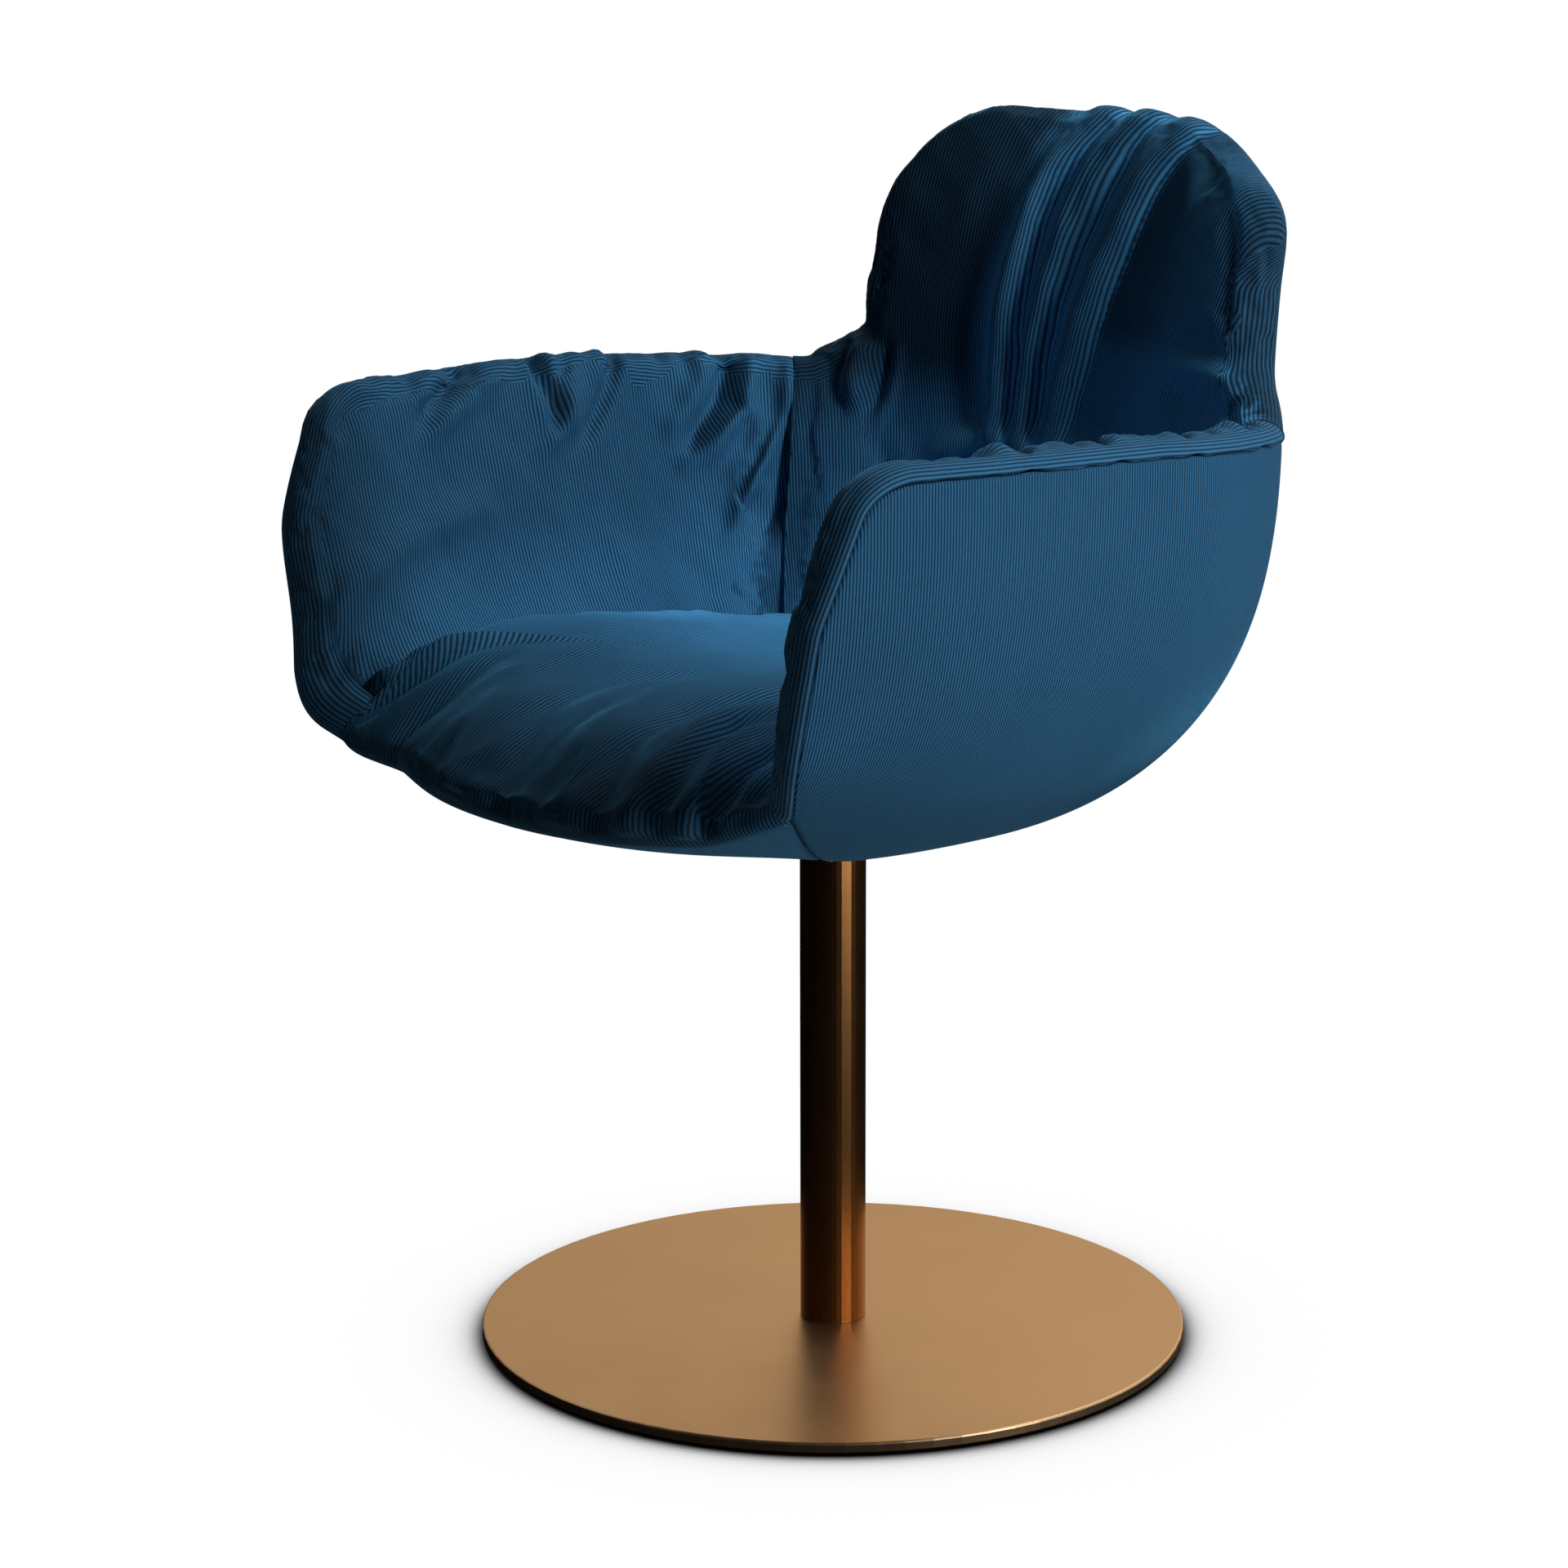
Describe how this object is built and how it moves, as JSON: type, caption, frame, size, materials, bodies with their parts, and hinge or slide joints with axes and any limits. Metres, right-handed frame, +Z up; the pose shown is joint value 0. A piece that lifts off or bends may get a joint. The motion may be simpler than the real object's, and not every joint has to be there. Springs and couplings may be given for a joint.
{
  "type": "armchair",
  "caption": "Upholstered bucket armchair with a high back, turning on a round steel column over a flat round floor plate.",
  "frame": {"origin": "on the column's axis at floor level, at the underside of the base's felt pad", "axes": "+Z up along the column, the sitter faces -Y, +X is the sitter's left"},
  "size_m": [0.6402, 0.6065, 0.8868],
  "materials": {
    "bronze_metal": "satin bronze",
    "zinc_plated_steel": "zinc plated",
    "brass": "plain",
    "nylon": "matte",
    "felt": "felt",
    "moulded_shell": "matte",
    "blue_corduroy": "fine ribbed corduroy"
  },
  "bodies": {
    "base": {"base_felt_pad": "felt", "base_plate": "bronze_metal", "column_tube": "bronze_metal", "column_foot_plug": "bronze_metal", "lower_bush": "nylon", "upper_bush": "nylon", "thrust_washer": "zinc_plated_steel", "foot_screw_1": "zinc_plated_steel", "foot_screw_2": "zinc_plated_steel", "foot_screw_3": "zinc_plated_steel"},
    "seat": {"arm_pad_left": "blue_corduroy", "arm_pad_right": "blue_corduroy", "back_pad": "blue_corduroy", "bolt_washer_1": "zinc_plated_steel", "bolt_washer_2": "zinc_plated_steel", "bolt_washer_3": "zinc_plated_steel", "bolt_washer_4": "zinc_plated_steel", "front_cover": "blue_corduroy", "front_pad": "blue_corduroy", "outer_cover_left": "blue_corduroy", "outer_cover_right": "blue_corduroy", "seat_bolt_1": "zinc_plated_steel", "seat_bolt_2": "zinc_plated_steel", "seat_bolt_3": "zinc_plated_steel", "seat_bolt_4": "zinc_plated_steel", "seat_cushion": "blue_corduroy", "seat_plate": "bronze_metal", "seat_shell": "moulded_shell", "spindle": "zinc_plated_steel", "spindle_circlip": "zinc_plated_steel", "spindle_washer": "zinc_plated_steel", "threaded_insert_1": "brass", "threaded_insert_2": "brass", "threaded_insert_3": "brass", "threaded_insert_4": "brass"}
  },
  "joints": [
    {"name": "seat_swivel", "type": "hinge", "parent": "base", "child": "seat", "pos_m": [0, 0, 0.36], "axis": [0, 0, 1], "continuous": true}
  ]
}
